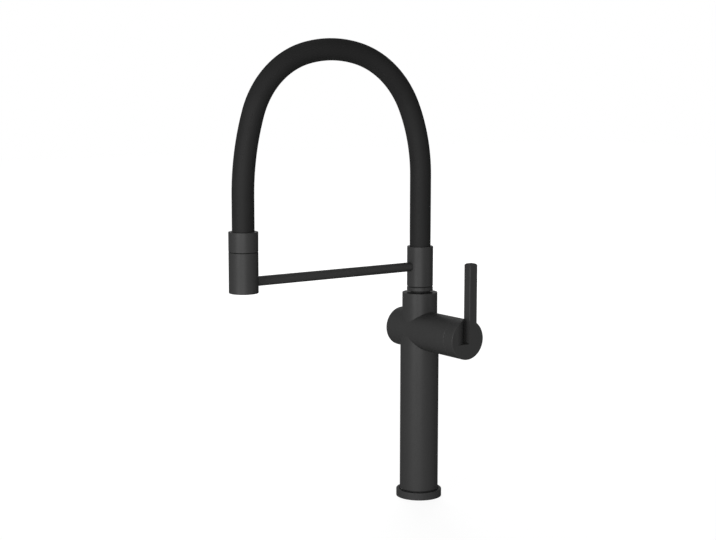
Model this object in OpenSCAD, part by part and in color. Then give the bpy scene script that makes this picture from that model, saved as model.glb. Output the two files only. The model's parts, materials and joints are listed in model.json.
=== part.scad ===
// Low-pressure kitchen faucet with a side lever, an arched hose and a docked spray head.
// Millimetres. The origin is on the column's axis in the worktop plane, +Z is up,
// the spout reaches towards -Y and the lever is on the +X side.

/* [Base] */
// Outer diameter of the column
column_d = 42.2; // [40:0.2:44]
// Wall of the column tube
column_wall = 2.4; // [2:0.1:2.8]
// Height of the column tube above the worktop
column_h = 150; // [120:1:180]
// Outer diameter of the base ring
ring_d = 50; // [49:0.5:56]
// Height of the base ring
ring_h = 8.2; // [6:0.2:12]
// Height of the groove in the column, straight above the base ring, which holds the ring down
foot_groove_h = 1; // [0.8:0.1:1.4]
// Depth of that groove, and of the seal in it
foot_groove_t = 0.9; // [0.6:0.1:1]
// Rounding of the outer visible edges
edge_r = 0.8; // [0.4:0.1:1]
// Radial width of the gasket under the base ring
gasket_w = 1.5; // [1:0.1:1.8]
// Thickness of the gasket under the base ring
gasket_h = 1.5; // [1:0.1:2.5]
// Height of the plug in the foot of the column
plug_h = 14; // [10:1:20]
// Thread diameter of the fixing stud
stud_d = 8; // [6:1:8]
// Diameter of each hose passage in the foot plug
passage_d = 11; // [10.5:0.1:11.4]
// Distance of the hose passages from the column's axis
hose_pitch_r = 11; // [10.6:0.1:11.4]

/* [Valve body] */
// Height of the cross tube's axis above the column tube
cross_rise = 36.5; // [30:0.5:42]
// Outer diameter of the cross tube
cross_d = 42.6; // [42.2:0.2:44]
// From the column's axis to the back end of the cross tube
back_len = 33; // [29:0.5:38]
// From the column's axis to the seam behind the handle
front_len = 68; // [66:0.5:70]
// Outer diameter of the neck under the spout
neck_d = 38.4; // [36:0.2:40]
// Height of the neck above the cross tube's axis
neck_rise = 41.7; // [38:0.1:48]
// Length of the spigot that enters the column tube
spigot_len = 12; // [11:0.5:16]
// Thread diameter of each hose inlet
inlet_d = 10; // [8:0.5:10]
// Depth of each hose inlet
inlet_depth = 10; // [8:0.5:11]
// Diameter of the water channels
channel_d = 6; // [4:0.5:6]
// Thickness of the back cap
back_cap_t = 3; // [2:0.1:4]
// Thread diameter of the back cap's spigot
back_thread_d = 34; // [30:0.5:35]
// Key size of the hexagon socket in the back cap
back_key = 8; // [6:1:10]

/* [Cartridge] */
// From the column's axis to the seat of the cartridge
seat_x = 18; // [17:0.5:19]
// Outer diameter of the cartridge
cartridge_d = 35; // [34:0.1:35.4]
// Thickness of the seal under the cartridge
seal_t = 1.2; // [0.8:0.1:1.6]
// Thickness of the cartridge base
cartridge_base_t = 4.8; // [4:0.1:5.5]
// Wall of the cartridge housing
cartridge_wall = 3.2; // [2.5:0.1:3.4]
// Diameter of each port through the cartridge
port_d = 5; // [4:0.5:5.5]
// Diameter of the moving ceramic disc
moving_disc_d = 21; // [19:0.5:22]
// Thickness of each ceramic disc
disc_t = 4; // [3:0.1:4.4]
// Thickness of the carrier on the moving disc
carrier_t = 5; // [4.5:0.1:5.4]
// Diameter of the turning stem holder
holder_d = 23.6; // [22:0.2:24]
// Length of the turning stem holder
holder_len = 11.4; // [10.8:0.2:12]
// Diameter of the pin that the stem tilts on
pivot_pin_d = 3; // [2:0.5:3.2]
// Diameter of the stem inside the cartridge
stem_d = 5.2; // [4:0.2:5.4]
// Diameter of the stem's shank in the handle
shank_d = 7.8; // [6:0.2:8]
// Diameter of the ball on the stem's inner end
ball_d = 6.6; // [5.6:0.2:6.8]
// Length of the nut that holds the cartridge
nut_len = 8; // [6:0.5:8.5]

/* [Handle] */
// Length of the handle's round cap
cap_len = 14.5; // [13.5:0.1:16]
// Height of the lever bar above the cap's axis
lever_len = 80.8; // [70:0.2:90]
// Width of the lever bar
lever_w = 10.2; // [8:0.1:10.8]
// Thickness of the lever bar
lever_t = 10; // [7:0.1:10.4]
// From the cap's axis to the near side of the lever bar
lever_side = 2.4; // [1.5:0.1:3.4]
// Rounding of the lever bar's long edges
lever_edge_r = 0.9; // [0.5:0.1:1.5]
// Rounding of the lever bar's top edges
lever_top_r = 3; // [1:0.1:3.5]
// Width of the hollow beside the lever's root
hollow_w = 17.9; // [16:0.1:18.2]
// Depth of the hollow's floor below the cap's axis
hollow_drop = 4.6; // [3:0.1:5]
// Slope of the hollow's floor, in degrees
hollow_slope = 11.5; // [5:0.5:14]
// Angle that the lever tilts from closed to fully open
open_angle = 22; // [16:1:24]
// Gap between the handle and the valve body
handle_gap = 0.5; // [0.3:0.1:0.8]
// Diameter of the grub screw that holds the handle
handle_screw_d = 4; // [3:0.5:4]
// Length of the grub screw that holds the handle
handle_screw_len = 4; // [3:0.5:5]

/* [Swivel] */
// Outer diameter of the spout's collar
collar_d = 28.4; // [27.6:0.2:30]
// Height of the spout's collar
collar_h = 43.5; // [41:0.5:48]
// Thread diameter of the swivel post in the neck
post_thread_d = 22; // [20.5:0.5:22.5]
// Length of the swivel post's thread
post_thread_len = 14; // [10:0.5:16]
// Outer diameter of the swivel post
post_d = 19.2; // [18:0.2:19.8]
// Thickness of the slide washer on the neck, which makes the shadow gap under the glide ring
slide_washer_t = 2.1; // [1:0.1:2.5]
// Diameter of the slide washer on the neck
slide_washer_d = 23.4; // [23:0.1:25]
// Height of the glide ring on the slide washer
glide_h = 4.1; // [3.5:0.1:6.5]
// Thickness of the washer between the glide ring and the collar
washer_t = 0.8; // [0.3:0.1:1]
// Radial clearance of the collar on the post
swivel_gap = 0.05; // [0.02:0.01:0.08]
// Diameter of the water way through the post
post_bore_d = 10; // [8:0.5:11]
// Thickness of each sealing ring on the post
oring_t = 2; // [1.6:0.1:2.2]
// Diameter of the collar's grub screw
grub_d = 4; // [3:0.5:4]
// Height of the grub screw's axis above the collar's lower edge
grub_rise = 12; // [11:0.5:13]

/* [Hose] */
// From the column's axis to the head's axis
reach = 225; // [214:1:238]
// Outer diameter of the hose sleeve
hose_d = 22.8; // [22:0.2:23.4]
// Wall of the hose sleeve
sleeve_wall = 2.4; // [2:0.1:2.6]
// Wire thickness of the support spring
spring_wire = 1.4; // [1:0.1:1.6]
// Outer diameter of the inner hose
inner_hose_d = 12; // [11:0.2:13]
// Wall of the inner hose
inner_hose_wall = 2; // [1.5:0.1:2]
// Straight length of the hose above the collar
riser_len = 77; // [70:1:84]
// Radius of the first bend above the collar
riser_bend_r = 178; // [165:1:190]
// Angle of the first bend
riser_bend_a = 24.5; // [23:0.5:26]
// Radius of the bend on the collar's side of the crown
back_bend_r = 102; // [94:1:110]
// Angle of the bend on the collar's side of the crown
back_bend_a = 50.5; // [49:0.5:52]
// Angle of the crown
crown_a = 29; // [27:0.5:31]
// Radius of the bend on the head's side of the crown
front_bend_r = 90; // [84:1:96]
// Angle of the bend on the head's side of the crown
front_bend_a = 58.5; // [57:0.5:60]
// Radius of the last bend above the head
drop_bend_r = 272; // [255:1:290]
// Depth of the sockets that hold the hose's ends
socket_depth = 10; // [8:0.5:12]

/* [Arm] */
// Diameter of the support arm
arm_d = 10; // [9:0.5:11]
// Height of the arm's axis above the collar's lower edge
arm_rise = 21.6; // [20:0.1:24]
// Length of the arm's magnetic tip
tip_len = 6.5; // [6:0.1:9]
// Diameter of the magnet in the tip
magnet_d = 7; // [5:0.5:7.4]
// Thickness of the magnet
magnet_t = 2.5; // [2:0.1:3]
// Thread diameter of the spigots on the arm's ends
arm_thread_d = 5; // [4:0.5:5]
// Gap between the tip and the docked head
dock_gap = 0.3; // [0.3:0.1:0.6]

/* [Head] */
// Outer diameter of the head
head_d = 30.2; // [29.6:0.2:32]
// Height of the turning head body
head_h = 42; // [40:0.5:48]
// Height of the connector above the head body
connector_h = 20.2; // [19:0.1:24]
// Gap between the head body and the connector
head_gap = 0.5; // [0.4:0.1:0.7]
// From the head's lower edge up to the arm's axis
dock_height = 10.8; // [10:0.1:14]
// Wall of the head body around its insert
head_wall = 1.7; // [1.5:0.1:2]
// Diameter of the connector's spigot in the head body
head_spigot_d = 18; // [16:0.2:18.4]
// Length of the connector's spigot in the head body
head_spigot_len = 12; // [11:0.2:13]
// Height of the steel ring that the magnet holds
dock_ring_h = 14; // [12:0.5:15]
// Height of the nozzle ring
nozzle_h = 3.4; // [2.5:0.1:4]
// Height of the flow insert
insert_h = 12; // [9:0.5:14]
// Diameter of the jet holes in the nozzle plate
jet_d = 1.8; // [1:0.1:2]

/* [Hidden] */
$fn = 96;

matt_black = [0.13, 0.13, 0.13];
hose_black = [0.1, 0.1, 0.1];
seal_black = [0.06, 0.06, 0.06];
brass_tone = [0.78, 0.62, 0.32];
steel_tone = [0.7, 0.7, 0.72];
ceramic_tone = [0.92, 0.9, 0.86];
grey_plastic = [0.55, 0.57, 0.6];
white_plastic = [0.88, 0.88, 0.86];

// Radial gap of pieces that are screwed or pressed together
seat_gap = 0.1;
// Radial running clearance of the small turning and sliding pieces
run_gap = 0.06;
// Gap between the base ring and the column, which shows as a dark line
ring_gap = 0.5;
// Overshoot of the cutting shapes
cut = 1;
fillet_steps = 5;
// How far the back cap's thread reaches past the column's side, and what its pocket leaves of it
back_thread_in = 8;
back_thread_wall = 3;
back_key_depth = 2.4;
// What the cartridge's seal leaves free of its edge
seal_edge = 0.6;
// Width of the moving disc's sealing rim
disc_land = 3.5;
// Floor of the carrier's socket, and the play of the ball in it
socket_floor = 0.6;
socket_play = 0.4;
// Free length over the carrier, between the housing's ledge and the holder, and behind the holder
carrier_room = 1.4;
ledge_gap = 0.4;
holder_play = 0.2;
// The slot that the stem tilts in: its side play and half its height
stem_play = 0.3;
stem_slot_half = 7;
// The pivot pin's fit in its holder, and how far its ends lie below the holder's face
pin_fit = 0.02;
pin_inset = 0.4;
// The cartridge nut: depth of its thread, play round the holder, and its spanner notches
nut_thread_depth = 0.9;
nut_bore_gap = 0.6;
nut_notch_w = 3;
nut_notch_depth = 2.5;
nut_notch_wall = 1.2;
// Play of the handle's hub in the valve body's mouth, and the room that it leaves for the tilt
mouth_gap = 0.4;
tilt_room = 1.6;
// Wall of the boss round the stem's shank, and its distance from the nut
boss_wall = 3;
boss_gap = 4.6;
// From the housing to the shank's start
shank_gap = 2;
// From the shank to the end of its grub screw
screw_gap = 0.5;
hex_depth = 2;
// Largest turn between two stations of the hose
bend_step = 6;
hose_count = 3;
first_hose_angle = 90;
port_spread = 8;
outlet_port = [4, 12];
// From the collar's lower edge up to one sealing ring, and from the post's top down to the other
oring_inset = [6, 4.5];
// Axial play of a sealing ring in its groove
groove_gap = 0.2;
// Depth of the groove that the collar's grub screw runs in
groove_depth = 1.3;
grub_gap = 0.3;
grub_inset = 1;
post_play = 1;
glide_edge = 0.3;
washer_inset = 1;
// Flange, web, wall, length and thread of the tails that the hose's ends sit on
tail_flange_t = 2;
web_t = 4;
tail_wall = 1.2;
tail_len = 20;
tail_thread_r = 6.5;
sleeve_sides = 24;
spring_sides = 16;
inner_hose_sides = 12;
// The arm's threaded ends
arm_thread_gap = 0.4;
tip_thread_len = 3;
// The head's sealing ring: its thickness, and its distance below the connector
head_oring_t = 1.6;
head_oring_drop = 4;
// The clip that holds the head: thickness, groove, rim, mouth, and play all round
clip_t = 1.2;
clip_inset = 0.8;
clip_depth = 1;
clip_rim = 1.6;
clip_mouth = 4;
clip_play = 0.8;
clip_gap = 0.3;
head_way_r = 5;
nozzle_inset = 0.6;
nozzle_lip = 0.8;
// Length, width and depth of the spanner notches in the nozzle ring
nozzle_notch = [3, 2, 1];
insert_wall = 1.5;
insert_hole_r = 1.2;
dock_wall = 1.1;
plate_t = 1.6;
// Rings of holes round the centre hole, the holes in the first one, and the rings' pitch
jet_rows = 2;
jet_ring = 6;
jet_pitch = 4;

column_r = column_d / 2;
column_bore_r = column_r - column_wall;
plug_r = column_bore_r - seat_gap;
ring_r = ring_d / 2;
ring_bore_r = column_r + ring_gap;
gasket_mid_r = (ring_bore_r + ring_r) / 2;
ring_chamfer = edge_r / 2;

cross_r = cross_d / 2;
cross_z = column_h + cross_rise;
neck_r = neck_d / 2;
neck_top = cross_z + neck_rise;
back_face = back_cap_t - back_len;
back_thread_r = back_thread_d / 2;
back_seal_r = (back_thread_r + cross_r) / 2;
back_seal_t = seal_t;
back_thread_len = back_len - back_cap_t - column_r + back_thread_in;

cartridge_r = cartridge_d / 2;
chamber_r = cartridge_r + seat_gap * 2;
base_x = seat_x + seal_t;
disc_x = base_x + cartridge_base_t;
moving_x = disc_x + disc_t;
carrier_x = moving_x + disc_t;
holder_x = carrier_x + carrier_t + carrier_room;
holder_r = holder_d / 2;
housing_end = holder_x + holder_len + holder_play;
nut_end = housing_end + nut_len;
disc_r = cartridge_r - cartridge_wall;
pivot_x = holder_x + holder_len / 2;
ball_x = carrier_x + socket_floor + socket_play + ball_d / 2;
ball_arm = pivot_x - ball_x;
lean = open_angle / 2;
disc_shift = ball_arm * sin(lean);
nut_r = chamber_r + nut_thread_depth;
nut_bore_r = holder_r + nut_bore_gap;

mouth_r = nut_r + mouth_gap;
shell_r = sqrt(pow(front_len - pivot_x, 2) + pow(cross_r, 2));
cap_front = front_len + cap_len;
hub_r = mouth_r - mouth_gap;
hub_x = pivot_x + sqrt(pow(shell_r + handle_gap, 2) - pow(mouth_r, 2));
hub_shift = (hub_x - pivot_x) * tan(open_angle) + tilt_room;
hub_end = cap_front - cap_len / 3;
boss_r = shank_d / 2 + boss_wall;
boss_start = nut_end - pivot_x + boss_gap;
shank_start = housing_end - pivot_x + shank_gap;
shank_end = hub_x - pivot_x;
lever_x = cap_front - lever_t;
hollow_y = lever_side - hollow_w;
hollow_lip = 0.15;
hollow_r = (pow(hollow_w, 2) + pow(lever_t + hollow_lip, 2)) / (2 * (lever_t + hollow_lip));
screw_tilt = 20;
screw_at = (boss_start + shank_end) / 2;
screw_start = shank_d / 2 + screw_gap;

post_r = post_d / 2;
collar_r = collar_d / 2;
glide_z = neck_top + slide_washer_t;
glide_top = glide_z + glide_h;
collar_z = glide_top + washer_t;
collar_top = collar_z + collar_h;
arm_z = collar_z + arm_rise;
hose_r = hose_d / 2;
socket_r = hose_r + seat_gap;
collar_web_top = collar_top - socket_depth;
post_top = collar_web_top - web_t - post_play;
post_bore_r = post_bore_d / 2;
oring_z = [collar_z + oring_inset[0], post_top - oring_inset[1]];
screw_z = collar_z + grub_rise;

inner_hose_r = inner_hose_d / 2;
inner_bore_r = inner_hose_r - inner_hose_wall;
sleeve_bore_r = hose_r - sleeve_wall;
spring_r = sleeve_bore_r - seat_gap * 2;
tail_r = inner_bore_r - seat_gap * 2;
tail_bore_r = tail_r - tail_wall;

arm_r = arm_d / 2;
arm_thread_r = arm_thread_d / 2;
head_r = head_d / 2;
tip_y = head_r + tip_len - reach;

head_z = arm_z - dock_height;
head_top = head_z + head_h - head_gap;
connector_z = head_z + head_h;
connector_top = connector_z + connector_h;
connector_web_top = connector_top - socket_depth;
head_spigot_r = head_spigot_d / 2;
head_bore_r = head_r - head_wall;
head_spigot_z = connector_z - head_spigot_len;
head_oring_z = connector_z - head_oring_drop;
clip_z = head_spigot_z + clip_inset;
shoulder_z = clip_z + clip_t + clip_gap;
nozzle_z = head_z + nozzle_inset;
insert_z = nozzle_z + nozzle_h;
insert_r = head_bore_r - dock_wall - seat_gap * 2;
insert_bore_r = insert_r - insert_wall;
pocket_top = insert_z + dock_ring_h;

hose_start = collar_web_top + tail_flange_t;
hose_end = connector_web_top + tail_flange_t;
bend_start = collar_top + riser_len;
turn = [0, riser_bend_a, riser_bend_a + back_bend_a, riser_bend_a + back_bend_a + crown_a,
        riser_bend_a + back_bend_a + crown_a + front_bend_a, 180];
side_reach = riser_bend_r * (cos(turn[0]) - cos(turn[1]))
    + back_bend_r * (cos(turn[1]) - cos(turn[2]))
    + front_bend_r * (cos(turn[3]) - cos(turn[4]))
    + drop_bend_r * (cos(turn[4]) - cos(turn[5]));
crown_r = (reach - side_reach) / (cos(turn[2]) - cos(turn[3]));
bend_r = [riser_bend_r, back_bend_r, crown_r, front_bend_r, drop_bend_r];

// Where bend i starts, as its place along Y and Z
function bend_y(i) = i == 0 ? 0 : bend_y(i - 1) - bend_r[i - 1] * (cos(turn[i - 1]) - cos(turn[i]));
function bend_z(i) = i == 0 ? bend_start : bend_z(i - 1) + bend_r[i - 1] * (sin(turn[i]) - sin(turn[i - 1]));

// Points of a rounded corner of radius r about a centre, from angle a to angle b
function corner(centre, r, a, b) = [for (i = [0 : fillet_steps])
    let (t = a + (b - a) * i / fillet_steps) centre + r * [cos(t), sin(t)]];

module tube(outer, inner, low, high) {
    translate([0, 0, low]) difference() {
        cylinder(r = outer, h = high - low);
        translate([0, 0, -cut]) cylinder(r = inner, h = high - low + 2 * cut);
    }
}

module rod(r, low, high) {
    translate([0, 0, low]) cylinder(r = r, h = high - low);
}

// A round piece from low to high, its ends rounded by low_r and high_r outside
module turned(outer, inner, low, high, low_r, high_r) {
    rotate_extrude() polygon(concat(
        [[inner, low]],
        low_r > 0 ? corner([outer - low_r, low + low_r], low_r, -90, 0) : [[outer, low]],
        high_r > 0 ? corner([outer - high_r, high - high_r], high_r, 0, 90) : [[outer, high]],
        [[inner, high]]));
}

// Turns a shape made along Z so that it lies along the cross tube
module along_cross() {
    translate([0, 0, cross_z]) rotate([0, 90, 0]) children();
}

// Puts a shape made along Z on the axis of the stem when the lever is closed
module along_stem() {
    translate([pivot_x, 0, cross_z]) rotate([0, 90 - lean, 0]) children();
}

// Lays a shape made along Z on the arm's axis, pointing to the head
module along_arm() {
    translate([0, 0, arm_z]) rotate([90, 0, 0]) children();
}

module at_head() {
    translate([0, -reach, 0]) children();
}

module at_hoses() {
    for (i = [0 : hose_count - 1])
        rotate([0, 0, first_hose_angle + 360 / hose_count * i])
            translate([hose_pitch_r, 0, 0]) children();
}

module base_ring() color(matt_black) difference() {
    rotate_extrude() polygon(concat(
        [[ring_bore_r, 0], [ring_r, 0]],
        corner([ring_r - edge_r, ring_h - edge_r], edge_r, 0, 90),
        [[ring_bore_r + ring_chamfer, ring_h], [ring_bore_r, ring_h - ring_chamfer]]));
    tube(gasket_mid_r + gasket_w / 2, gasket_mid_r - gasket_w / 2, -cut, gasket_h);
}

module base_gasket() color(seal_black)
    tube(gasket_mid_r + gasket_w / 2 - seat_gap / 2, gasket_mid_r - gasket_w / 2 + seat_gap / 2, 0, gasket_h);

module foot_plug() color(brass_tone) difference() {
    rod(plug_r, 0, plug_h);
    rod(stud_d / 2, -cut, plug_h + cut);
    at_hoses() rod(passage_d / 2, -cut, plug_h + cut);
}

module column_tube() color(matt_black) difference() {
    tube(column_r, column_bore_r, 0, column_h);
    tube(column_r + cut, column_r - foot_groove_t, ring_h, ring_h + foot_groove_h);
}

module foot_seal() color(seal_black)
    ring_seal(column_r, foot_groove_t, ring_h + foot_groove_h / 2);

// What lies in front of the ball-shaped joint between the valve body and the handle
module beyond_shell(r) {
    along_cross() rotate_extrude() difference() {
        translate([0, pivot_x]) square([cross_r + cut, cap_front - pivot_x + cut]);
        translate([0, pivot_x]) circle(r = r);
    }
}

// One water way: up from a hose inlet, then forward to a port at the cartridge's seat
module water_way(x, y, z) {
    translate([x, y, 0]) rod(channel_d / 2, column_h - spigot_len + inlet_depth - cut, cross_z + z);
    translate([x, y, cross_z + z]) rotate([0, 90, 0]) rod(channel_d / 2, -channel_d / 2, seat_x - x + cut);
}

module outlet_way() {
    translate([0, outlet_port[0], cross_z + outlet_port[1]])
        rotate([0, 90, 0]) rod(channel_d / 2, -channel_d / 2, seat_x + cut);
    rod(post_bore_r, cross_z + outlet_port[1], neck_top);
}

// Where the hose inlets lie, and how high each one's port is over the cross tube's axis
function hose_place(i) = hose_pitch_r * [cos(first_hose_angle + 360 / hose_count * i),
    sin(first_hose_angle + 360 / hose_count * i)];
function port_z(i) = i == 0 ? 0 : (i == 1 ? port_spread : -port_spread);

module valve_body() color(matt_black) difference() {
    union() {
        rod(column_r, column_h, cross_z);
        rod(plug_r, column_h - spigot_len, column_h + cut);
        along_cross() rod(cross_r, back_face, cap_front);
        turned(neck_r, 0, cross_z, neck_top, 0, edge_r / 2);
    }
    beyond_shell(shell_r - handle_gap / 2);
    along_cross() {
        rod(chamber_r, seat_x, cap_front + cut);
        rod(nut_r + seat_gap / 2, housing_end, cap_front + cut);
        rod(mouth_r, nut_end, cap_front + cut);
        rod(back_thread_r + seat_gap, back_face - cut, back_face + back_thread_len + cut);
        rod(back_seal_r, back_face - cut, back_face + back_seal_t);
    }
    rod(post_thread_d / 2 + seat_gap, neck_top - post_thread_len, neck_top + cut);
    at_hoses() rod(inlet_d / 2, column_h - spigot_len - cut, column_h - spigot_len + inlet_depth);
    for (i = [0 : hose_count - 1]) water_way(hose_place(i)[0], hose_place(i)[1], port_z(i));
    outlet_way();
}

module back_seal() color(seal_black) along_cross()
    tube(back_seal_r - seat_gap, back_thread_r, back_face, back_face + back_seal_t);

module back_cap() color(matt_black) along_cross() difference() {
    union() {
        turned(cross_r, 0, -back_len, back_face, edge_r, 0);
        rod(back_thread_r - seat_gap, back_face - cut, back_face + back_thread_len);
    }
    rod(back_thread_r - back_thread_wall, back_face + cut, back_face + back_thread_len + cut);
    translate([0, 0, -back_len - cut]) cylinder(d = back_key / cos(30), h = cut + back_key_depth, $fn = 6);
}

module ports(low, high) {
    for (i = [0 : hose_count - 1])
        translate([-port_z(i), hose_place(i)[1], 0]) rod(port_d / 2, low, high);
    translate([-outlet_port[1], outlet_port[0], 0]) rod(port_d / 2, low, high);
}

module cartridge_seal() color(seal_black) along_cross() difference() {
    rod(cartridge_r - seal_edge, seat_x, base_x);
    ports(seat_x - cut, base_x + cut);
}

module cartridge_base() color(grey_plastic) along_cross() difference() {
    rod(cartridge_r, base_x, disc_x);
    ports(base_x - cut, disc_x + cut);
}

module fixed_disc() color(ceramic_tone) along_cross() intersection() {
    rod(disc_r - seat_gap, disc_x, moving_x);
    difference() {
        rod(cartridge_r, disc_x - cut, moving_x + cut);
        ports(disc_x - cut, moving_x + cut);
    }
}

// The closed lever holds the moving disc below the cross tube's axis
module moving_disc() color(ceramic_tone) along_cross() translate([disc_shift, 0, 0]) difference() {
    rod(moving_disc_d / 2, moving_x, carrier_x);
    rod(moving_disc_d / 2 - disc_land, moving_x - cut, moving_x + disc_t / 2);
}

module disc_carrier() color(white_plastic) along_cross() translate([disc_shift, 0, 0]) difference() {
    rod(moving_disc_d / 2, carrier_x, carrier_x + carrier_t);
    rod(ball_d / 2 + socket_play, carrier_x + socket_floor, carrier_x + carrier_t + cut);
}

module cartridge_housing() color(grey_plastic) along_cross() difference() {
    rod(cartridge_r, disc_x, housing_end);
    rod(disc_r, disc_x - cut, holder_x - ledge_gap);
    rod(holder_r + run_gap, disc_x, housing_end + cut);
}

module stem_holder() color(white_plastic) difference() {
    along_cross() rod(holder_r, holder_x, holder_x + holder_len);
    translate([holder_x - cut, -stem_d / 2 - stem_play, cross_z - stem_slot_half])
        cube([holder_len + 2 * cut, stem_d + 2 * stem_play, 2 * stem_slot_half]);
    translate([pivot_x, 0, cross_z]) rotate([90, 0, 0]) rod(pivot_pin_d / 2, -holder_d, holder_d);
}

module pivot_pin() color(steel_tone) translate([pivot_x, 0, cross_z]) rotate([90, 0, 0])
    rod(pivot_pin_d / 2 - pin_fit, pin_inset - holder_r, holder_r - pin_inset);

module cartridge_stem() color(steel_tone) difference() {
    along_stem() {
        rod(stem_d / 2, -ball_arm, shank_start + cut);
        rod(shank_d / 2, shank_start, shank_end);
        translate([0, 0, -ball_arm]) sphere(d = ball_d);
    }
    translate([pivot_x, 0, cross_z]) rotate([90, 0, 0]) rod(pivot_pin_d / 2 + run_gap, -stem_d, stem_d);
}

module cartridge_nut() color(matt_black) along_cross() difference() {
    rod(nut_r, housing_end, nut_end);
    rod(nut_bore_r, housing_end - cut, nut_end + cut);
    for (i = [0 : 3]) rotate([0, 0, 45 + 90 * i])
        translate([nut_bore_r + nut_notch_wall, -nut_notch_w / 2, nut_end - nut_notch_depth])
            cube([nut_r, nut_notch_w, nut_notch_depth + cut]);
}

// A flat plate from low to high, its four corners rounded by r
module rounded_plate(low, high, r) {
    polygon(concat(
        corner([low[0] + r, low[1] + r], r, 180, 270),
        corner([high[0] - r, low[1] + r], r, 270, 360),
        corner([high[0] - r, high[1] - r], r, 0, 90),
        corner([low[0] + r, high[1] - r], r, 90, 180)));
}

// The bar is what three rounded plates, one along each axis, have in common
module lever_bar() {
    face = [lever_x, cap_front];
    side = [lever_side, lever_side + lever_w];
    span = [cross_z - cross_r, cross_z + lever_len];
    intersection() {
        translate([0, 0, cross_z]) linear_extrude(height = lever_len)
            rounded_plate([face[0], side[0]], [face[1], side[1]], lever_edge_r);
        translate([0, side[1] + cut, 0]) rotate([90, 0, 0]) linear_extrude(height = lever_w + 2 * cut)
            rounded_plate([face[0], span[0]], [face[1], span[1]], lever_top_r);
        rotate([90, 0, 90]) linear_extrude(height = cap_front + cut)
            rounded_plate([side[0], span[0]], [side[1], span[1]], lever_top_r);
    }
}

// The hollow beside the lever's root falls away from the front face towards the bar
module root_hollow() {
    difference() {
        translate([0, 0, cross_z - hollow_drop]) linear_extrude(height = cross_r + hollow_drop + cut)
            difference() {
                translate([lever_x - cut, hollow_y]) square([lever_t + 2 * cut, hollow_w]);
                translate([cap_front + hollow_lip - hollow_r, hollow_y]) circle(r = hollow_r);
            }
        translate([cap_front, hollow_y - cut, cross_z - hollow_drop]) rotate([0, hollow_slope, 0])
            translate([-2 * lever_t, 0, -hollow_drop * 2])
                cube([2 * lever_t, hollow_w + 2 * cut, hollow_drop * 2]);
    }
}

module handle_lever() color(matt_black) difference() {
    union() {
        difference() {
            union() {
                intersection() {
                    along_cross() turned(cross_r, 0, pivot_x, cap_front, 0, edge_r);
                    beyond_shell(shell_r + handle_gap / 2);
                }
                intersection() {
                    along_cross() rod(hub_r, hub_x, hub_end);
                    along_cross() translate([-hub_shift, 0, 0]) rod(hub_r, hub_x - cut, cap_front);
                }
                along_stem() rod(boss_r, boss_start, shank_end + boss_wall);
            }
            root_hollow();
        }
        lever_bar();
    }
    along_stem() {
        rod(shank_d / 2 + seat_gap / 2, boss_start - cut, shank_end + seat_gap);
        translate([0, 0, screw_at]) rotate([0, 90 + lean - screw_tilt, 0])
            rod(handle_screw_d / 2 + seat_gap, 0, 2 * cross_r);
    }
}

module handle_screw() color(steel_tone) along_stem() translate([0, 0, screw_at])
    rotate([0, 90 + lean - screw_tilt, 0]) difference() {
        rod(handle_screw_d / 2, screw_start, screw_start + handle_screw_len);
        translate([0, 0, screw_start + handle_screw_len - hex_depth])
            cylinder(d = handle_screw_d / 2 / cos(30), h = hex_depth + cut, $fn = 6);
    }

// What is cut off a spigot of radius r for a groove at height z that takes something of width w
module groove(r, depth, z, w) {
    tube(r + cut, r - depth, z - w / 2 - groove_gap, z + w / 2 + groove_gap);
}

module swivel_post() color(brass_tone) difference() {
    union() {
        rod(post_thread_d / 2, neck_top - post_thread_len, neck_top);
        rod(post_r, neck_top - cut, post_top);
    }
    rod(post_bore_r, neck_top - post_thread_len - cut, post_top + cut);
    for (z = oring_z) groove(post_r, oring_t, z, oring_t);
    groove(post_r, groove_depth, screw_z, grub_d);
}

// A sealing ring in a groove of depth t cut into a spigot of radius r, at height z
module ring_seal(r, t, z) {
    translate([0, 0, z]) rotate_extrude() translate([r - t / 2 - seat_gap, 0]) circle(d = t - 2 * seat_gap);
}

module swivel_orings() color(seal_black) for (z = oring_z)
    ring_seal(post_r, oring_t, z);

module slide_washer() color(seal_black)
    tube(slide_washer_d / 2, post_r + seat_gap, neck_top, glide_z);

module glide_ring() color(matt_black)
    turned(collar_r, post_r + seat_gap, glide_z, glide_top, glide_edge, edge_r);

module glide_washer() color(seal_black)
    tube(collar_r - washer_inset, post_r + seat_gap, glide_top, collar_z);

module spout_collar() color(matt_black) difference() {
    turned(collar_r, 0, collar_z, collar_top, edge_r / 2, edge_r / 2);
    rod(post_r + swivel_gap, collar_z - cut, collar_web_top - web_t);
    rod(tail_thread_r, collar_z, collar_top + cut);
    rod(socket_r, collar_web_top, collar_top + cut);
    along_arm() rod(arm_thread_r + seat_gap / 2, 0, collar_r + cut);
    translate([0, 0, screw_z]) rotate([-90, 0, 0]) rod(grub_d / 2, 0, collar_r + cut);
}

module collar_screw() color(steel_tone) translate([0, 0, screw_z]) rotate([-90, 0, 0]) difference() {
    rod(grub_d / 2 - seat_gap / 2, post_r - groove_depth + grub_gap, collar_r - grub_inset);
    translate([0, 0, collar_r - grub_inset - hex_depth])
        cylinder(d = grub_d / 2 / cos(30), h = hex_depth + cut, $fn = 6);
}

// A threaded tail with a flange for the sleeve and the spring, standing on z
module hose_tail(z) {
    difference() {
        union() {
            rod(tail_thread_r - seat_gap / 2, z - web_t, z + cut);
            rod(hose_r - seat_gap, z, z + tail_flange_t);
            rod(tail_r, z, z + tail_flange_t + tail_len);
        }
        rod(tail_bore_r, z - web_t - cut, z + tail_flange_t + tail_len + cut);
    }
}

module collar_hose_tail() color(brass_tone) hose_tail(collar_web_top);

module support_arm() color(matt_black) difference() {
    union() {
        difference() {
            along_arm() rod(arm_r, post_r, -tip_y);
            rod(collar_r + seat_gap / 2, arm_z - arm_r - cut, arm_z + arm_r + cut);
        }
        along_arm() rod(arm_thread_r, post_r + arm_thread_gap, tip_thread_len - tip_y);
    }
}

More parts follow.
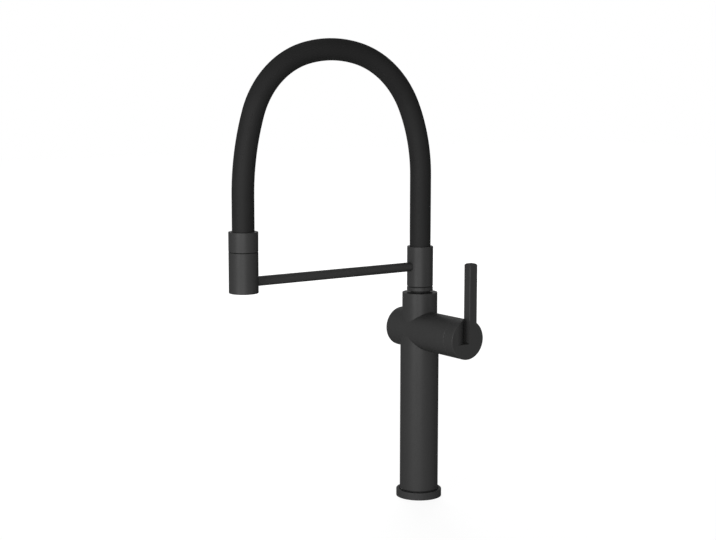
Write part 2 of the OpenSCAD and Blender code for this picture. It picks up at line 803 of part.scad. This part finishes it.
module arm_tip() color(matt_black) difference() {
    along_arm() rod(arm_r, -tip_y, reach - head_r + arm_r);
    at_head() rod(head_r + dock_gap, arm_z - arm_r - cut, arm_z + arm_r + cut);
    along_arm() rod(arm_thread_r + seat_gap / 2, -tip_y - cut, tip_thread_len - tip_y);
    along_arm() rod(magnet_d / 2, reach - head_r - dock_gap - magnet_t, reach);
}

module dock_magnet() color(steel_tone) along_arm()
    rod(magnet_d / 2 - seat_gap, reach - head_r - dock_gap - magnet_t, reach - head_r - dock_gap);

// Stations along bend i, each with its place along Y and Z and its heading from straight up
function bend_stations(i) = let (steps = ceil((turn[i + 1] - turn[i]) / bend_step))
    [for (k = [1 : steps]) let (a = turn[i] + (turn[i + 1] - turn[i]) * k / steps) [
        bend_y(i) - bend_r[i] * (cos(turn[i]) - cos(a)),
        bend_z(i) + bend_r[i] * (sin(a) - sin(turn[i])),
        a]];

hose_stations = concat([[0, hose_start, 0], [0, bend_start, 0]],
    [for (i = [0 : len(bend_r) - 1]) each bend_stations(i)], [[-reach, hose_end, 180]]);

// Four-sided faces between the rings that start at points a and b
function ring_faces(a, b, sides) = [for (k = [0 : sides - 1]) let (n = (k + 1) % sides)
    [a + k, b + k, b + n, a + n]];

// A tube along the whole hose, from the collar over the crown down to the head
module hose_run(outer, inner, sides) {
    last = len(hose_stations) - 1;
    inside = len(hose_stations) * sides;
    points = [for (r = [outer, inner], s = hose_stations, k = [0 : sides - 1]) let (t = 360 * k / sides)
        [r * cos(t), s[0] + r * sin(t) * cos(s[2]), s[1] + r * sin(t) * sin(s[2])]];
    walls = [for (j = [0 : last - 1]) each concat(
        ring_faces(j * sides, (j + 1) * sides, sides),
        ring_faces(inside + (j + 1) * sides, inside + j * sides, sides))];
    ends = concat(ring_faces(inside, 0, sides), ring_faces(last * sides, inside + last * sides, sides));
    polyhedron(points, concat(walls, ends), convexity = 10);
}

module hose_sleeve() color(hose_black) hose_run(hose_r, sleeve_bore_r, sleeve_sides);

module support_spring() color(steel_tone) hose_run(spring_r, spring_r - spring_wire, spring_sides);

module inner_hose() color(grey_plastic) hose_run(inner_hose_r, inner_bore_r, inner_hose_sides);

module head_hose_tail() color(brass_tone) at_head() hose_tail(connector_web_top);

module head_connector() color(matt_black) at_head() difference() {
    union() {
        turned(head_r, 0, connector_z, connector_top, edge_r / 2, edge_r / 2);
        rod(head_spigot_r, head_spigot_z, connector_z + cut);
    }
    rod(head_way_r, head_spigot_z - cut, connector_top);
    rod(tail_thread_r, connector_web_top - web_t, connector_top + cut);
    rod(socket_r, connector_web_top, connector_top + cut);
    groove(head_spigot_r, head_oring_t, head_oring_z, head_oring_t);
    tube(head_spigot_r + cut, head_spigot_r - clip_depth, clip_z, clip_z + clip_t);
}

module head_oring() color(seal_black) at_head() ring_seal(head_spigot_r, head_oring_t, head_oring_z);

module head_clip() color(steel_tone) at_head() difference() {
    tube(head_spigot_r + clip_rim, head_spigot_r - clip_depth + seat_gap, clip_z, clip_z + clip_t);
    translate([0, -clip_mouth / 2, clip_z - cut]) cube([head_r, clip_mouth, clip_t + 2 * cut]);
}

module head_body() color(matt_black) at_head() difference() {
    turned(head_r, 0, head_z, head_top, edge_r, edge_r / 2);
    rod(head_bore_r, head_z - cut, pocket_top);
    rod(head_spigot_r + clip_rim + clip_play, head_z, shoulder_z);
    rod(head_spigot_r + run_gap, head_z, head_top + cut);
}

module dock_ring() color(steel_tone) at_head()
    tube(head_bore_r - seat_gap, head_bore_r - dock_wall, insert_z, pocket_top);

// A centre hole and rings of holes around it
module hole_rings(r, low, high) {
    rod(r, low, high);
    for (k = [1 : jet_rows], i = [0 : jet_ring * k - 1]) rotate([0, 0, 360 * i / (jet_ring * k)])
        translate([jet_pitch * k, 0, 0]) rod(r, low, high);
}

module flow_insert() color(grey_plastic) at_head() difference() {
    rod(insert_r, insert_z, insert_z + insert_h);
    rod(insert_bore_r, insert_z - cut, insert_z + insert_h - plate_t);
    hole_rings(insert_hole_r, insert_z, insert_z + insert_h + cut);
}

module nozzle_plate() color(grey_plastic) at_head() difference() {
    rod(insert_bore_r - seat_gap, insert_z, insert_z + plate_t);
    hole_rings(jet_d / 2, insert_z - cut, insert_z + plate_t + cut);
}

module nozzle_ring() color(matt_black) at_head() difference() {
    rod(head_bore_r - seat_gap, nozzle_z, insert_z);
    rod(insert_bore_r - nozzle_lip, nozzle_z - cut, insert_z + cut);
    for (i = [0 : 3]) rotate([0, 0, 45 + 90 * i])
        translate([insert_bore_r - nozzle_lip - cut, -nozzle_notch[1] / 2, nozzle_z - cut])
            cube([nozzle_notch[0], nozzle_notch[1], nozzle_notch[2] + cut]);
}

base_ring();
base_gasket();
foot_plug();
column_tube();
foot_seal();
valve_body();
back_seal();
back_cap();
cartridge_seal();
cartridge_base();
fixed_disc();
moving_disc();
disc_carrier();
cartridge_housing();
stem_holder();
pivot_pin();
cartridge_stem();
cartridge_nut();
handle_lever();
handle_screw();
swivel_post();
swivel_orings();
slide_washer();
glide_ring();
glide_washer();
spout_collar();
collar_screw();
collar_hose_tail();
support_arm();
arm_tip();
dock_magnet();
hose_sleeve();
support_spring();
inner_hose();
head_hose_tail();
head_connector();
head_oring();
head_clip();
head_body();
dock_ring();
flow_insert();
nozzle_plate();
nozzle_ring();
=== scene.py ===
"""The looks of a low-pressure kitchen faucet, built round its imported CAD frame. Lengths are in metres."""
import bisect
import json
import math

import bpy
from mathutils import Matrix, Vector


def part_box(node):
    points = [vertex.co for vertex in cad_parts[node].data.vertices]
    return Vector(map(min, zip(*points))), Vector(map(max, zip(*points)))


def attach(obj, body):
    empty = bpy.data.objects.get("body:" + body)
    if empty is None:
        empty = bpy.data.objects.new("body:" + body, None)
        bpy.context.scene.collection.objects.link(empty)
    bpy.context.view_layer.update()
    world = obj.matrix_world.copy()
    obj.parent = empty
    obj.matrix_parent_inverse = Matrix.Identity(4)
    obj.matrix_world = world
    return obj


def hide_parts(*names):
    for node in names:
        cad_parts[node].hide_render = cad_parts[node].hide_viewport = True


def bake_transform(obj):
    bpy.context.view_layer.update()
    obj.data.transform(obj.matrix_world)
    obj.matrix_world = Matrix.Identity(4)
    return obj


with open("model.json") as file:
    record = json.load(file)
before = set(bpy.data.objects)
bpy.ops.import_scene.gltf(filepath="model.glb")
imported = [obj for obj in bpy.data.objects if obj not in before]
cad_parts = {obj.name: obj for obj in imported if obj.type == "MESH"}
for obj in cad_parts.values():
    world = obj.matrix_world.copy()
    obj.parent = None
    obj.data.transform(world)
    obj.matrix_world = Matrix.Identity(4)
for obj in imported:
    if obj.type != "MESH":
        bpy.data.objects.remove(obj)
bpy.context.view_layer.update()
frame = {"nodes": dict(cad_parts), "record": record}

MM = 0.001


def new_mesh(name, points, faces, smooth_angle=35):
    """A smooth-shaded mesh object whose sharp edges are those over smooth_angle degrees."""
    mesh = bpy.data.meshes.new(name)
    mesh.from_pydata(points, [], faces)
    mesh.validate()
    mesh.shade_smooth()
    mesh.set_sharp_from_angle(angle=math.radians(smooth_angle))
    piece = bpy.data.objects.new(name, mesh)
    bpy.context.scene.collection.objects.link(piece)
    return piece


def finish_piece(piece, body, slot, *nodes):
    """Gives a made piece its material, its body and the CAD nodes that it stands for."""
    piece.data.materials.append(MATERIALS[slot])
    if nodes:
        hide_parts(*nodes)
    if body:
        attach(piece, body)


# Materials

# Noise seldom leaves this range, so it is stretched from it
NOISE_LOW = 0.3
NOISE_HIGH = 0.7
# How bright a coated or rubber face's reflection stays at grazing angles
EDGE_TINT = 0.4


def grey(value):
    """A colour with no hue."""
    return (value, value, value)


def link(tree, source, target):
    """Joins an output socket to an input socket."""
    tree.links.new(source, target)


def base_material(name, colour, roughness, metallic=0):
    """A new node material, and its tree, shader and object coordinates."""
    material = bpy.data.materials.new(name)
    material.use_nodes = True
    tree = material.node_tree
    shader = tree.nodes["Principled BSDF"]
    shader.inputs["Base Color"].default_value = (*colour, 1)
    shader.inputs["Roughness"].default_value = roughness
    shader.inputs["Metallic"].default_value = metallic
    place = tree.nodes.new("ShaderNodeTexCoord")
    return material, tree, shader, place.outputs["Object"]


def noise(tree, place, scale, detail=3, stretch=None):
    """Noise over the object's own coordinates, scaled along each axis if asked."""
    if stretch:
        mapping = tree.nodes.new("ShaderNodeMapping")
        mapping.inputs["Scale"].default_value = stretch
        link(tree, place, mapping.inputs["Vector"])
        place = mapping.outputs["Vector"]
    node = tree.nodes.new("ShaderNodeTexNoise")
    node.inputs["Scale"].default_value = scale
    node.inputs["Detail"].default_value = detail
    link(tree, place, node.inputs["Vector"])
    return node.outputs["Fac"]


def spread(tree, value, low, high):
    """A noise value spread over low to high."""
    node = tree.nodes.new("ShaderNodeMapRange")
    node.inputs["From Min"].default_value = NOISE_LOW
    node.inputs["From Max"].default_value = NOISE_HIGH
    node.inputs["To Min"].default_value = low
    node.inputs["To Max"].default_value = high
    link(tree, value, node.inputs["Value"])
    return node.outputs["Result"]


def tint(tree, value, dark, light):
    """A colour between dark and light, chosen by a noise value."""
    node = tree.nodes.new("ShaderNodeMix")
    node.data_type = "RGBA"
    node.inputs["A"].default_value = (*dark, 1)
    node.inputs["B"].default_value = (*light, 1)
    link(tree, spread(tree, value, 0, 1), node.inputs["Factor"])
    return node.outputs["Result"]


def bump(tree, shader, value, height, strength=0.5):
    """Relief of the given height, which follows a noise value."""
    node = tree.nodes.new("ShaderNodeBump")
    node.inputs["Strength"].default_value = strength
    node.inputs["Distance"].default_value = height
    link(tree, value, node.inputs["Height"])
    link(tree, node.outputs["Normal"], shader.inputs["Normal"])


def dark_edges(shader, metallic):
    """Part metal whose reflection fades at grazing angles, so that a matt piece keeps dark outlines."""
    shader.inputs["Metallic"].default_value = metallic
    shader.inputs["Specular Tint"].default_value = (*grey(EDGE_TINT), 1)
    shader.inputs["Specular IOR Level"].default_value = 0


def powder_coat():
    """Matt black coating: a fine grain, with faint wide changes in colour and roughness."""
    material, tree, shader, place = base_material("black_finish", grey(0.05), roughness=0.45)
    dark_edges(shader, metallic=0.3)
    grain = noise(tree, place, scale=1600)
    cloud = noise(tree, place, scale=45, detail=2)
    link(tree, tint(tree, grain, dark=grey(0.045), light=grey(0.055)), shader.inputs["Base Color"])
    link(tree, spread(tree, cloud, low=0.42, high=0.48), shader.inputs["Roughness"])
    bump(tree, shader, grain, 0.06 * MM)
    return material


def silicone():
    """Smooth matt rubber of the hose's sleeve, with a very fine grain."""
    material, tree, shader, place = base_material("hose_rubber", grey(0.027), roughness=0.6)
    dark_edges(shader, metallic=0.3)
    grain = noise(tree, place, scale=2200)
    cloud = noise(tree, place, scale=30, detail=2)
    link(tree, tint(tree, cloud, dark=grey(0.025), light=grey(0.029)), shader.inputs["Base Color"])
    link(tree, spread(tree, cloud, low=0.57, high=0.64), shader.inputs["Roughness"])
    bump(tree, shader, grain, 0.04 * MM)
    return material


def seal_rubber():
    """Dull moulded rubber of the seals and the jet nubs."""
    material, tree, shader, place = base_material("seal_rubber", grey(0.012), roughness=0.55)
    shader.inputs["Specular IOR Level"].default_value = 0.2
    grain = noise(tree, place, scale=1500)
    link(tree, spread(tree, grain, low=0.48, high=0.62), shader.inputs["Roughness"])
    bump(tree, shader, grain, 0.03 * MM, strength=0.6)
    return material


def turned_metal(name, dark, light, rough):
    """Bare metal with the fine rings that a lathe leaves."""
    material, tree, shader, place = base_material(name, light, rough, metallic=1)
    rings = noise(tree, place, scale=900, detail=2, stretch=(0.05, 0.05, 3))
    cloud = noise(tree, place, scale=120)
    link(tree, tint(tree, cloud, dark, light), shader.inputs["Base Color"])
    link(tree, spread(tree, rings, low=rough - 0.06, high=rough + 0.08), shader.inputs["Roughness"])
    bump(tree, shader, rings, 0.01 * MM)
    return material


def moulded(name, dark, light, rough, gloss=0.5):
    """Moulded plastic, or fired ceramic, with a fine grain."""
    material, tree, shader, place = base_material(name, light, rough)
    shader.inputs["Specular IOR Level"].default_value = gloss
    grain = noise(tree, place, scale=1400)
    cloud = noise(tree, place, scale=80, detail=2)
    link(tree, tint(tree, cloud, dark, light), shader.inputs["Base Color"])
    link(tree, spread(tree, grain, low=rough - 0.05, high=rough + 0.07), shader.inputs["Roughness"])
    bump(tree, shader, grain, 0.02 * MM)
    return material


# One material for each slot of the record
MATERIALS = {
    "black_finish": powder_coat(),
    "hose_rubber": silicone(),
    "seal_rubber": seal_rubber(),
    "brass": turned_metal("brass", (0.62, 0.45, 0.2), (0.78, 0.6, 0.3), 0.28),
    "steel": turned_metal("steel", (0.5, 0.5, 0.51), (0.62, 0.62, 0.63), 0.24),
    "ceramic": moulded("ceramic", (0.84, 0.82, 0.76), (0.9, 0.88, 0.82), 0.3),
    "grey_plastic": moulded("grey_plastic", (0.36, 0.37, 0.39), (0.42, 0.43, 0.45), 0.45),
    # Partly the washers' own black and partly painted shade: the plastic is made very dark and dull so that
    # the narrow gaps round the washers read as deep shade
    "black_plastic": moulded("black_plastic", grey(0.008), grey(0.012), 0.55, gloss=0.1),
    "white_plastic": moulded("white_plastic", (0.78, 0.78, 0.76), (0.84, 0.84, 0.82), 0.45),
    "inner_hose": moulded("inner_hose", (0.26, 0.26, 0.28), (0.32, 0.32, 0.34), 0.5),
}


def dress_cad_nodes():
    """Every CAD node takes the material of its slot in the record."""
    for row in frame["record"]["subparts"]:
        piece = frame["nodes"][row["node"]]
        piece.data.materials.clear()
        piece.data.materials.append(MATERIALS[row["material_slot"]])


# The hose, whose centre line is five arcs between two straight ends

# The frame gives the outer radii, the height of the end in the collar, and the reach to the head's axis
sleeve_low, sleeve_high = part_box("hose_sleeve")
HOSE_R = sleeve_high[0]
SPRING_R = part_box("support_spring")[1][0]
INNER_HOSE_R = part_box("inner_hose")[1][0]
HOSE_START = sleeve_low[2]
REACH = -sleeve_low[1] - HOSE_R
# Heights of the riser's first bend and of the end in the head
BEND_START = 355.7 * MM
HOSE_END = 300.2 * MM
# Walls of the two tubes, radius of the spring's wire, and rise of one turn
SLEEVE_WALL = 2.4 * MM
INNER_HOSE_WALL = 2 * MM
SPRING_WIRE_R = 0.7 * MM
SPRING_PITCH = 3.6 * MM
# Radius and angle in degrees of the bends, from the riser to the drop; the crown's radius follows
RISER_BEND = (178 * MM, 24.5)
BACK_BEND = (102 * MM, 50.5)
CROWN_ANGLE = 29
FRONT_BEND = (90 * MM, 58.5)
DROP_BEND = (272 * MM, 17.5)
# Between two stations, a bend turns this many degrees at most, and a straight end runs this far
BEND_STEP = 1.5
STRAIGHT_STEP = 4 * MM
# Faces round the two tubes and the wire, and steps in one turn of the spring
SLEEVE_SIDES = 96
INNER_HOSE_SIDES = 32
WIRE_SIDES = 6
SPRING_STEPS = 14


def bends(crown_r):
    """Radius and angle of the five bends, for a crown of the given radius."""
    return (RISER_BEND, BACK_BEND, (crown_r, CROWN_ANGLE), FRONT_BEND, DROP_BEND)


def crown_radius():
    """The crown spans what the four other bends leave of the reach."""
    others = 0
    heading = 0
    for radius, angle in bends(0):
        ahead = heading + angle
        others += radius * (math.cos(math.radians(heading)) - math.cos(math.radians(ahead)))
        heading = ahead
    before = math.radians(RISER_BEND[1] + BACK_BEND[1])
    after = before + math.radians(CROWN_ANGLE)
    return (REACH - others) / (math.cos(before) - math.cos(after))


def straight(start, end, heading):
    """Evenly spaced stations from start to end."""
    steps = math.ceil(math.dist(start, end) / STRAIGHT_STEP)
    (y0, z0), (y1, z1) = start, end
    return [(y0 + (y1 - y0) * k / steps, z0 + (z1 - z0) * k / steps, heading) for k in range(steps + 1)]


def hose_line():
    """Stations of the hose's centre line: place along Y and Z, and heading from straight up, in radians."""
    y, z, heading = 0.0, BEND_START, 0.0
    line = straight((0, HOSE_START), (0, BEND_START), 0.0)
    for radius, angle in bends(crown_radius()):
        steps = math.ceil(angle / BEND_STEP)
        start, y0, z0 = heading, y, z
        for k in range(1, steps + 1):
            heading = start + math.radians(angle) * k / steps
            y = y0 - radius * (math.cos(start) - math.cos(heading))
            z = z0 + radius * (math.sin(heading) - math.sin(start))
            line.append((y, z, heading))
    return line + straight((y, z), (y, HOSE_END), math.pi)[1:]


def around(station, radius, turn):
    """The point at a radius and a turn round a station of the hose."""
    y, z, heading = station
    side = radius * math.sin(turn)
    return (radius * math.cos(turn), y + side * math.cos(heading), z + side * math.sin(heading))


def hose_tube(name, outer, wall, sides):
    """A tube with a bore along the whole hose."""
    line = hose_line()
    points = [around(station, radius, 2 * math.pi * k / sides)
              for radius in (outer, outer - wall) for station in line for k in range(sides)]
    # First point of the bore, and of the outer skin's last ring
    bore = len(line) * sides
    last = bore - sides
    faces = []
    for k in range(sides):
        n = (k + 1) % sides
        for j in range(0, last, sides):
            faces.append((j + k, j + n, j + sides + n, j + sides + k))
            faces.append((bore + j + k, bore + j + sides + k, bore + j + sides + n, bore + j + n))
        faces.append((k, bore + k, bore + n, n))
        faces.append((last + k, last + n, bore + last + n, bore + last + k))
    return new_mesh(name, points, faces)


def hose_lengths(line):
    """How far along the hose each station lies."""
    lengths = [0.0]
    for near, far in zip(line, line[1:]):
        lengths.append(lengths[-1] + math.dist(near[:2], far[:2]))
    return lengths


def station_at(run, line, lengths):
    """The station that lies so far along the hose."""
    j = min(max(bisect.bisect_left(lengths, run) - 1, 0), len(line) - 2)
    part = (run - lengths[j]) / (lengths[j + 1] - lengths[j])
    return [near + (far - near) * part for near, far in zip(line[j], line[j + 1])]


def spring_wire():
    """The spring's wire, wound round the hose's centre line: its middle and the way outwards."""
    line = hose_line()
    lengths = hose_lengths(line)
    turns = lengths[-1] / SPRING_PITCH
    steps = math.ceil(turns * SPRING_STEPS)
    wire = []
    for k in range(steps + 1):
        station = station_at(lengths[-1] * k / steps, line, lengths)
        middle = Vector(around(station, SPRING_R - SPRING_WIRE_R, 2 * math.pi * turns * k / steps))
        wire.append((middle, middle - Vector((0, station[0], station[1]))))
    return wire


def wire_tube(name, wire, radius, sides):
    """A closed round wire along a list of places, each with a direction across the wire."""
    points = []
    for k, (middle, across) in enumerate(wire):
        ahead = (wire[min(k + 1, len(wire) - 1)][0] - wire[max(k - 1, 0)][0]).normalized()
        up = ahead.cross(across).normalized()
        side = up.cross(ahead)
        for n in range(sides):
            turn = 2 * math.pi * n / sides
            points.append(middle + radius * (math.cos(turn) * side + math.sin(turn) * up))
    faces = [list(range(sides))[::-1], list(range(len(points) - sides, len(points)))]
    for here in range(0, len(points) - sides, sides):
        there = here + sides
        faces += [(here + n, here + (n + 1) % sides, there + (n + 1) % sides, there + n) for n in range(sides)]
    return new_mesh(name, points, faces, smooth_angle=60)


def bend_with_hose(piece, slot, node):
    """Gives a hose piece its material in place of its CAD node and bakes its place into its mesh; it joins no
    body, and its straight ends lie in the collar and the head.
    """
    finish_piece(piece, None, slot, node)
    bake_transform(piece)


def hose():
    """The sleeve, the spring in it, and the hose in the spring."""
    sleeve = hose_tube("hose_sleeve_skin", HOSE_R, SLEEVE_WALL, SLEEVE_SIDES)
    bend_with_hose(sleeve, "hose_rubber", "hose_sleeve")
    spring = wire_tube("support_spring_coil", spring_wire(), SPRING_WIRE_R, WIRE_SIDES)
    bend_with_hose(spring, "steel", "support_spring")
    inner = hose_tube("inner_hose_tube", INNER_HOSE_R, INNER_HOSE_WALL, INNER_HOSE_SIDES)
    bend_with_hose(inner, "inner_hose", "inner_hose")


# The spray head's soft jet nubs

JET_HOLE_R = 0.9 * MM
JET_PITCH = 4 * MM
JET_ROWS = 2
JETS_IN_ROW = 6
# A nub's outer radius, its radius at the tip, its length, and the length of its straight part
NUB_R = 1.5 * MM
NUB_TIP_R = 1.25 * MM
NUB_DROP = 1.1 * MM
NUB_STRAIGHT = 0.385 * MM
# How much wider the bore is at the tip
NUB_FLARE = 0.1 * MM
NUB_SIDES = 24


def jet_places():
    """The centre jet and the rings of jets round it."""
    yield 0.0, -REACH
    for row in range(1, JET_ROWS + 1):
        for k in range(JETS_IN_ROW * row):
            turn = 2 * math.pi * k / (JETS_IN_ROW * row)
            yield row * JET_PITCH * math.cos(turn), row * JET_PITCH * math.sin(turn) - REACH


def jet_nubs():
    """A soft round lip under each jet hole of the nozzle plate, which rubs clean of scale."""
    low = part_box("nozzle_plate")[0][2]
    tip = low - NUB_DROP
    rings = [(JET_HOLE_R, low), (NUB_R, low), (NUB_R, low - NUB_STRAIGHT), (NUB_TIP_R, tip),
             (JET_HOLE_R + NUB_FLARE, tip)]
    turns = [2 * math.pi * k / NUB_SIDES for k in range(NUB_SIDES)]
    points, faces = [], []
    for x, y in jet_places():
        first = len(points)
        for radius, z in rings:
            points += [(x + radius * math.cos(turn), y + radius * math.sin(turn), z) for turn in turns]
        for j in range(len(rings)):
            here = first + j * NUB_SIDES
            there = first + (j + 1) % len(rings) * NUB_SIDES
            faces += [(there + k, there + (k + 1) % NUB_SIDES, here + (k + 1) % NUB_SIDES, here + k)
                      for k in range(NUB_SIDES)]
    finish_piece(new_mesh("jet_nubs", points, faces, smooth_angle=50), "spray_head", "seal_rubber")


# The camera stands where the photograph's did

CAMERA_PLACE = (1.3132, -1.0227, 0.4725)
# Degrees round from -Y towards +X, and degrees above the horizon
CAMERA_AZIMUTH = 54.73
CAMERA_PITCH = 7.58
# Sensor and lens in millimetres, which a camera takes as they are
CAMERA_SENSOR = 36
CAMERA_LENS = 77.17
CAMERA_SHIFT = (0.01145, 0.00123)


def camera():
    """A camera at the photograph's viewing angle and frame."""
    data = bpy.data.cameras.new("camera")
    data.sensor_width = CAMERA_SENSOR
    data.lens = CAMERA_LENS
    data.shift_x, data.shift_y = CAMERA_SHIFT
    view = bpy.data.objects.new("camera", data)
    turn, pitch = math.radians(CAMERA_AZIMUTH), math.radians(CAMERA_PITCH)
    back = Vector((math.sin(turn) * math.cos(pitch), -math.cos(turn) * math.cos(pitch), math.sin(pitch)))
    right = Vector((math.cos(turn), math.sin(turn), 0))
    up = back.cross(right)
    view.matrix_world = Matrix.Translation(CAMERA_PLACE) @ Matrix((right, up, back)).transposed().to_4x4()
    bpy.context.scene.collection.objects.link(view)
    bpy.context.scene.camera = view


# The studio

LAMP_AIM = (0, -0.1, 0.28)
# Name, degrees to the right of the camera, height, distance, size of the face, and watts
LAMPS = [
    ("key_lamp", -35, 0.42, 2.5, (0.8, 0.7), 30),
    ("front_lamp", 0, 0.42, 2.5, (0.5, 0.7), 25),
    ("left_lamp", -142, 0.42, 2.5, (0.7, 0.7), 16),
    ("back_lamp", 180, 1.1, 2.5, (1.2, 0.6), 20),
    ("top_lamp", 180, 2.2, 1.6, (1.2, 1.2), 15),
]
# The world's light on the object; the world itself shows white
FILL_STRENGTH = 0.03

FLOOR_SIZE = 12
FLOOR_COLOUR = 0.2
# The floor's glow near the tap, which keeps the shadow faint, and between which distances it grows to 1
FLOOR_GLOW = 0.92
GLOW_START = 0.3
GLOW_END = 2


def lamp(name, turn, height, distance, size, power):
    """A softbox that faces the tap, turned from the camera's azimuth by so many degrees to the right."""
    azimuth = math.radians(CAMERA_AZIMUTH + turn)
    aim = Vector(LAMP_AIM)
    place = Vector((aim.x + distance * math.sin(azimuth), aim.y - distance * math.cos(azimuth), height))
    data = bpy.data.lights.new(name, "AREA")
    data.shape = "RECTANGLE"
    data.size, data.size_y = size
    data.energy = power
    light = bpy.data.objects.new(name, data)
    light.location = place
    light.rotation_euler = (aim - place).to_track_quat("-Z", "Y").to_euler()
    light.visible_camera = False
    bpy.context.scene.collection.objects.link(light)


def shown_rays(tree):
    """1 for the rays that show the background itself: from the camera, from gloss and through glass."""
    path = tree.nodes.new("ShaderNodeLightPath")
    total = path.outputs["Is Camera Ray"]
    for kind in ("Is Glossy Ray", "Is Transmission Ray"):
        add = tree.nodes.new("ShaderNodeMath")
        add.operation = "MAXIMUM"
        link(tree, total, add.inputs[0])
        link(tree, path.outputs[kind], add.inputs[1])
        total = add.outputs["Value"]
    return total


def white_world():
    """A world that shows white and lights the object faintly."""
    world = bpy.data.worlds.new("studio")
    world.use_nodes = True
    tree = world.node_tree
    fill = tree.nodes["Background"]
    white = tree.nodes.new("ShaderNodeBackground")
    for node, strength in ((fill, FILL_STRENGTH), (white, 1)):
        node.inputs["Color"].default_value = (1, 1, 1, 1)
        node.inputs["Strength"].default_value = strength
    choose = tree.nodes.new("ShaderNodeMixShader")
    link(tree, shown_rays(tree), choose.inputs["Fac"])
    link(tree, fill.outputs["Background"], choose.inputs[1])
    link(tree, white.outputs["Background"], choose.inputs[2])
    link(tree, choose.outputs["Shader"], tree.nodes["World Output"].inputs["Surface"])
    return world


def studio():
    """A white world and large soft lamps."""
    scene = bpy.context.scene
    scene.view_settings.view_transform = "Standard"
    scene.world = white_world()
    for row in LAMPS:
        lamp(*row)


def floor_material():
    """Matt white that glows for the rays that show it, a little less near the tap."""
    material = bpy.data.materials.new("floor")
    material.use_nodes = True
    tree = material.node_tree
    shader = tree.nodes["Principled BSDF"]
    shader.inputs["Base Color"].default_value = (*grey(FLOOR_COLOUR), 1)
    shader.inputs["Roughness"].default_value = 0.9
    shader.inputs["Specular IOR Level"].default_value = 0
    shader.inputs["Emission Color"].default_value = (1, 1, 1, 1)
    place = tree.nodes.new("ShaderNodeTexCoord")
    away = tree.nodes.new("ShaderNodeVectorMath")
    away.operation = "LENGTH"
    link(tree, place.outputs["Object"], away.inputs[0])
    fade = tree.nodes.new("ShaderNodeMapRange")
    fade.interpolation_type = "SMOOTHSTEP"
    fade.inputs["From Min"].default_value = GLOW_START
    fade.inputs["From Max"].default_value = GLOW_END
    fade.inputs["To Min"].default_value = FLOOR_GLOW
    fade.inputs["To Max"].default_value = 1
    link(tree, away.outputs["Value"], fade.inputs["Value"])
    glow = tree.nodes.new("ShaderNodeMath")
    glow.operation = "MULTIPLY"
    link(tree, fade.outputs["Result"], glow.inputs[0])
    link(tree, shown_rays(tree), glow.inputs[1])
    link(tree, glow.outputs["Value"], shader.inputs["Emission Strength"])
    return material


def floor():
    """A floor that shows white but keeps the tap's shadow."""
    half = FLOOR_SIZE / 2
    corners = [(-half, -half, 0), (half, -half, 0), (half, half, 0), (-half, half, 0)]
    plane = new_mesh("floor", corners, [(0, 1, 2, 3)])
    plane.data.materials.append(floor_material())


dress_cad_nodes()
hose()
jet_nubs()
camera()
studio()
floor()
